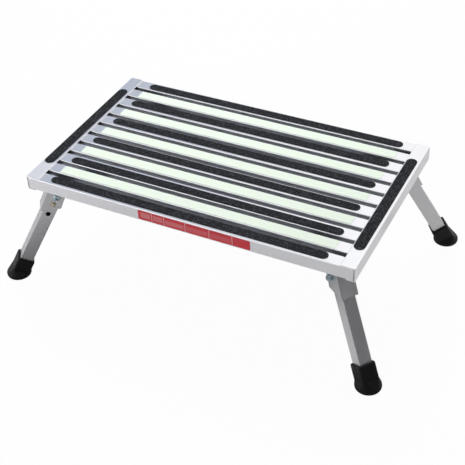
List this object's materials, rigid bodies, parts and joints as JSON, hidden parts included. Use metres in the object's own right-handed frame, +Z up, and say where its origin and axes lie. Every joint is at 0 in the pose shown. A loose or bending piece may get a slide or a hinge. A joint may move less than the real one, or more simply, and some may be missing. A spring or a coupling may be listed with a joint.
{
  "type": "folding entry step",
  "caption": "Folding platform step: a slatted aluminium deck with grit treads on splayed square legs that fold in under it, with snap-button locks and rubber feet.",
  "frame": {"origin": "on the ground under the middle of the deck", "axes": "+X along the deck towards its right end, +Y from the front to the back, +Z up"},
  "size_m": [0.5814, 0.3602, 0.1728],
  "materials": {
    "aluminium": "satin",
    "leg_aluminium": "satin",
    "aluminium_rivet": "satin",
    "bracket_metal": "satin",
    "zinc_bolt": "bright zinc",
    "bush_steel": "plain",
    "spring_steel": "plain",
    "button_brass": "yellow passivated",
    "grit": "coarse grit",
    "glow_film": "smooth matt film",
    "red_film": "smooth film",
    "rubber": "moulded"
  },
  "bodies": {
    "deck": {"left_side_rail": "aluminium", "right_side_rail": "aluminium", "front_rail": "aluminium", "back_rail": "aluminium", "slat_1": "aluminium", "slat_2": "aluminium", "slat_3": "aluminium", "slat_4": "aluminium", "slat_5": "aluminium", "slat_6": "aluminium", "slat_7": "aluminium", "slat_8": "aluminium", "slat_9": "aluminium", "grip_strip_1": "grit", "grip_strip_2": "grit", "grip_strip_3": "grit", "grip_strip_4": "grit", "grip_strip_5": "grit", "grip_strip_6": "grit", "glow_strip_1": "glow_film", "glow_strip_2": "glow_film", "glow_strip_3": "glow_film", "glow_strip_4": "glow_film", "glow_strip_5": "glow_film", "left_rail_grip": "grit", "right_rail_grip": "grit", "front_marker": "red_film", "left_rail_rivets": "aluminium_rivet", "right_rail_rivets": "aluminium_rivet", "bracket_rivets": "aluminium_rivet", "bracket_front_left": "bracket_metal", "bracket_front_right": "bracket_metal", "bracket_back_right": "bracket_metal", "bracket_back_left": "bracket_metal", "bolt_front_left": "zinc_bolt", "bolt_front_right": "zinc_bolt", "bolt_back_right": "zinc_bolt", "bolt_back_left": "zinc_bolt", "pivot_nuts": "zinc_bolt"},
    "leg_body_front_left": {"leg_front_left": "leg_aluminium", "foot_front_left": "rubber", "bush_front_left": "bush_steel", "spring_front_left": "spring_steel"},
    "button_body_front_left": {"button_front_left": "button_brass"},
    "leg_body_front_right": {"leg_front_right": "leg_aluminium", "foot_front_right": "rubber", "bush_front_right": "bush_steel", "spring_front_right": "spring_steel"},
    "button_body_front_right": {"button_front_right": "button_brass"},
    "leg_body_back_right": {"leg_back_right": "leg_aluminium", "foot_back_right": "rubber", "bush_back_right": "bush_steel", "spring_back_right": "spring_steel"},
    "button_body_back_right": {"button_back_right": "button_brass"},
    "leg_body_back_left": {"leg_back_left": "leg_aluminium", "foot_back_left": "rubber", "bush_back_left": "bush_steel", "spring_back_left": "spring_steel"},
    "button_body_back_left": {"button_back_left": "button_brass"}
  },
  "joints": [
    {"name": "leg_fold_front_left", "type": "hinge", "parent": "deck", "child": "leg_body_front_left", "pos_m": [-0.2125, -0.1199, 0.1372], "axis": [0.5736, -0.8192, 0], "range_deg": [0, 118], "deforming": ["button_front_left"]},
    {"name": "button_press_front_left", "type": "slide", "parent": "leg_body_front_left", "child": "button_body_front_left", "axis": [-0.5736, 0.8192, 0], "range_m": [0, 0.005], "stiffness_N_per_m": 600, "springref_m": -0.005, "deforming": ["spring_front_left"]},
    {"name": "leg_fold_front_right", "type": "hinge", "parent": "deck", "child": "leg_body_front_right", "pos_m": [0.2125, -0.1199, 0.1372], "axis": [0.5736, 0.8192, 0], "range_deg": [0, 118], "deforming": ["button_front_right"]},
    {"name": "button_press_front_right", "type": "slide", "parent": "leg_body_front_right", "child": "button_body_front_right", "axis": [-0.5736, -0.8192, 0], "range_m": [0, 0.005], "stiffness_N_per_m": 600, "springref_m": -0.005, "deforming": ["spring_front_right"]},
    {"name": "leg_fold_back_right", "type": "hinge", "parent": "deck", "child": "leg_body_back_right", "pos_m": [0.2125, 0.1199, 0.1372], "axis": [-0.5736, 0.8192, 0], "range_deg": [0, 118], "deforming": ["button_back_right"]},
    {"name": "button_press_back_right", "type": "slide", "parent": "leg_body_back_right", "child": "button_body_back_right", "axis": [0.5736, -0.8192, 0], "range_m": [0, 0.005], "stiffness_N_per_m": 600, "springref_m": -0.005, "deforming": ["spring_back_right"]},
    {"name": "leg_fold_back_left", "type": "hinge", "parent": "deck", "child": "leg_body_back_left", "pos_m": [-0.2125, 0.1199, 0.1372], "axis": [-0.5736, -0.8192, 0], "range_deg": [0, 118], "deforming": ["button_back_left"]},
    {"name": "button_press_back_left", "type": "slide", "parent": "leg_body_back_left", "child": "button_body_back_left", "axis": [0.5736, 0.8192, 0], "range_m": [0, 0.005], "stiffness_N_per_m": 600, "springref_m": -0.005, "deforming": ["spring_back_left"]}
  ]
}
